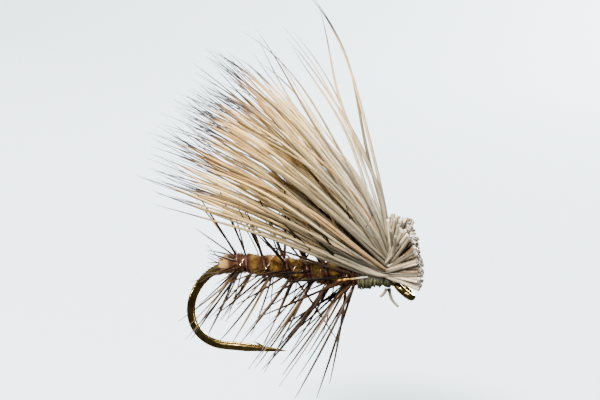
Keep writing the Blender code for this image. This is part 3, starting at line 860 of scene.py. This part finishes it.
def make_front_wraps(material, rng):
    """Thread wound in a cone from the body down to the neck, with a few turns laid across it."""
    per_turn = 22
    # Where each layer starts and ends, measured like the body, its turns, and its height over the first
    layers = (
        (0.02, BODY_FRONT + 0.10, 24, 0.0), (1.40, 0.15, 6, 0.045),
        (0.2, 1.3, 4, 0.065), (1.45, 0.1, 3, 0.085),
    )
    wraps = Strands()
    for start, end, turns, lift in layers:
        t = np.linspace(0, 1, turns * per_turn)
        turned = t * turns
        wander = 0.045 * np.sin(turned * 1.7) + 0.03 * np.sin(turned * 4.3 + lift * 90)
        distance = mix(start, end, t) + wander
        radius = mix(0.30, BODY_R, smooth(distance / BODY_FRONT)) + lift + 0.008 * np.sin(turned * 5.1)
        path = around_shank(distance, radius, math.tau * turned)
        for part in range(turns):
            one_turn = path[part * per_turn:(part + 1) * per_turn + 1]
            wraps.add(one_turn, np.full(len(one_turn), THREAD_R), ALONG, 7, rng.uniform(0.1, 0.9))
    core = np.linspace(0.0, BODY_FRONT + 0.1, 12)
    wraps.add(shank_point(core), mix(0.28, BODY_R - 0.03, smooth(core / BODY_FRONT)), ACROSS, 24, 0.15)
    wraps.piece("front_thread_wraps", material, ("thread_front_wraps",), "thread")


def make_collar(material, rng):
    """Three tight, slightly squared turns over the hair and under the shank."""
    half_across, half_up, middle_z = 0.47, 0.74, 0.86
    collar = Strands()
    for layer in range(3):
        t = np.linspace(0, math.tau, 72)
        c, s = np.cos(t), np.sin(t)
        squared = (c**4 + s**4) ** -0.22
        x = TIE[0] + 0.05 - 0.05 * layer + 0.02 * np.sin(t * 2 + layer)
        path = np.stack((x, half_across * c * squared, middle_z + half_up * s * squared), axis=-1)
        # Only the darkest thread tones: the thread's own dark olive, deepened as painted shade in the notch
        # between wing and butts
        collar.add(path, np.full(len(t), THREAD_R), ALONG, 7, rng.uniform(0.0, 0.25))
    collar.piece("hair_collar_wraps", material, ("thread_collar",), "thread")


def make_head(thread, lacquer):
    """The whip finish on the neck behind the eye, over a core that fills its turns, and its lacquer."""
    turns, wrap_r, core_r = 9, 0.29, 0.28
    t = np.linspace(0, 1, 200)
    centre = neck_points(mix(0.0, 0.42, t))
    angle = (math.tau * turns * t)[:, None]
    tangent, side = carried_sides(centre)
    over = np.cross(tangent, side)
    head = Strands()
    path = centre + (side * np.cos(angle) + over * np.sin(angle)) * wrap_r
    head.add(path, np.full(len(t), THREAD_R), tangent, 7, 0.25)
    core = centre[::12]
    head.add(core, np.full(len(core), core_r), ACROSS, 20, 0.1)
    head.piece("whip_finish_wraps", thread, ("whip_finish",), "thread")
    coat = Strands()
    centre = neck_points(np.linspace(0.03, 0.44, 14))
    radii = 0.335 + 0.03 * np.sin(np.linspace(0, math.pi, len(centre)))
    radii[0], radii[-1] = 0.29, 0.27
    coat.add(centre, radii, ACROSS, 28)
    coat.piece("lacquer_coat", lacquer, ("head_cement",), "lacquer")


# ---------------------------------------------------------------- stage


def make_stage():
    """A pale floor that curves up all round into a backdrop, and that throws no light on the fly."""
    look = Look("pale_backdrop")
    look.constants(Roughness=0.95, Specular_IOR_Level=0.1, Base_Color=(0.70, 0.80, 0.86, 1.0))
    floor, height = -9.5, 600
    flat_r, radius, corner = 120, 420.0, 190.0
    columns = 96
    profile = [(0.01, floor), (flat_r, floor)]
    for a in np.linspace(0, math.pi / 2, 16):
        profile.append((radius - corner + corner * math.sin(a), floor + corner - corner * math.cos(a)))
    profile.append((radius, floor + height))
    turn = np.linspace(0, math.tau, columns, endpoint=False)
    rings = [np.stack((r * np.cos(turn), r * np.sin(turn), np.full(columns, z)), axis=-1) for r, z in profile]
    faces = [face[::-1] for face in grid_faces(len(rings), columns)] + [list(range(columns))]
    mesh = bpy.data.meshes.new("backdrop")
    mesh.from_pydata((np.concatenate(rings) * MM).tolist(), [], faces)
    mesh.polygons.foreach_set("use_smooth", [True] * len(faces))
    mesh.materials.append(look.material)
    backdrop = bpy.data.objects.new("backdrop", mesh)
    bpy.context.scene.collection.objects.link(backdrop)
    backdrop.visible_glossy = False
    backdrop.visible_diffuse = False


def make_light(name, place, aim, size, power, colour):
    """A round lamp of that size and power in watts, which shines from place to aim and isn't seen itself."""
    light = bpy.data.lights.new(name, "AREA")
    light.shape = "DISK"
    light.size = size * MM
    light.energy = power
    light.color = colour
    obj = bpy.data.objects.new(name, light)
    bpy.context.scene.collection.objects.link(obj)
    place, aim = Vector(place) * MM, Vector(aim) * MM
    obj.location = place
    obj.rotation_euler = (aim - place).to_track_quat("-Z", "Y").to_euler()
    obj.visible_camera = False


def make_sky():
    """Dim light from all round, with more from overhead."""
    world = bpy.data.worlds.new("soft_sky")
    world.use_nodes = True
    nodes, links = world.node_tree.nodes, world.node_tree.links
    where = nodes.new("ShaderNodeTexCoord")
    split = nodes.new("ShaderNodeSeparateXYZ")
    height = nodes.new("ShaderNodeMapRange")
    height.inputs["From Min"].default_value = -1.0
    ramp = nodes.new("ShaderNodeValToRGB")
    levels = ((0.0, 0.10), (0.45, 0.04), (0.60, 0.06), (1.0, 0.42))
    elements = ramp.color_ramp.elements
    elements.new(0.5)
    elements.new(0.62)
    for element, (place, level) in zip(elements, levels):
        element.position = place
        element.color = (level * 0.93, level * 0.97, level, 1.0)
    links.new(where.outputs["Generated"], split.inputs[0])
    links.new(split.outputs["Z"], height.inputs["Value"])
    links.new(height.outputs["Result"], ramp.inputs["Fac"])
    links.new(ramp.outputs["Color"], nodes["Background"].inputs["Color"])
    bpy.context.scene.world = world


def make_lights():
    fly, backdrop = (-6, 0, 4), (0, 330, 0)
    make_light("key_light", (-105, -195, 205), fly, 45, 3.5, (1.0, 0.965, 0.91))
    make_light("fill_light", (190, -150, 50), fly, 120, 0.22, (0.93, 0.97, 1.0))
    make_light("side_light", (120, -200, 30), fly, 16, 0.24, (0.97, 0.98, 1.0))
    make_light("rear_light", (-230, -110, 20), fly, 26, 0.75, (1.0, 0.98, 0.94))
    make_light("back_light", (-60, 150, 240), fly, 70, 0.8, (1.0, 0.98, 0.94))
    make_light("far_light", (90, 317, 85), fly, 131, 2.1, (0.97, 0.98, 1.0))
    make_light("backdrop_light", (0, 60, 320), backdrop, 200, 2.2, (0.95, 0.98, 1.0))


def make_camera():
    """A little ahead of the hook's near side and above it, rolled so that the shank runs down to the eye."""
    ahead, above, roll = math.radians(6), math.radians(8), math.radians(6.0)
    target, distance = Vector((-6.11, 0, 4.19)) * MM, 134
    level = Vector((math.cos(ahead), math.sin(ahead), 0))
    flat = math.cos(above)
    back = Vector((math.sin(ahead) * flat, -math.cos(ahead) * flat, math.sin(above)))
    upright = back.cross(level)
    right = level * math.cos(roll) + upright * math.sin(roll)
    up = upright * math.cos(roll) - level * math.sin(roll)
    camera = bpy.data.cameras.new("camera")
    camera.lens = 150
    camera.clip_start, camera.clip_end = 0.005, 10
    obj = bpy.data.objects.new("camera", camera)
    bpy.context.scene.collection.objects.link(obj)
    place = Matrix((right, up, back)).transposed().to_4x4()
    place.translation = target + back * distance * MM
    obj.matrix_world = place
    bpy.context.scene.camera = obj


# ---------------------------------------------------------------- assembly


def main():
    thread, hair = thread_material(), hair_material()
    make_camera()
    make_stage()
    make_sky()
    make_lights()
    make_hook(bronze_material())
    make_abdomen(dubbing_material("amber_dubbing"))
    make_fuzz(dubbing_material("amber_fibres", 1.15), np.random.default_rng(SEED))
    make_rib(wire_material())
    make_quill(quill_material())
    make_barbs(hackle_material(), np.random.default_rng(SEED + 1))
    make_front_wraps(thread, np.random.default_rng(SEED + 2))
    make_collar(thread, np.random.default_rng(SEED + 3))
    make_head(thread, lacquer_material())
    make_hair(hair, np.random.default_rng(SEED + 9))
    make_trapped_hairs(hair)
    for material_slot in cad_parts["thread_underbody"].material_slots:
        material_slot.material = thread


main()
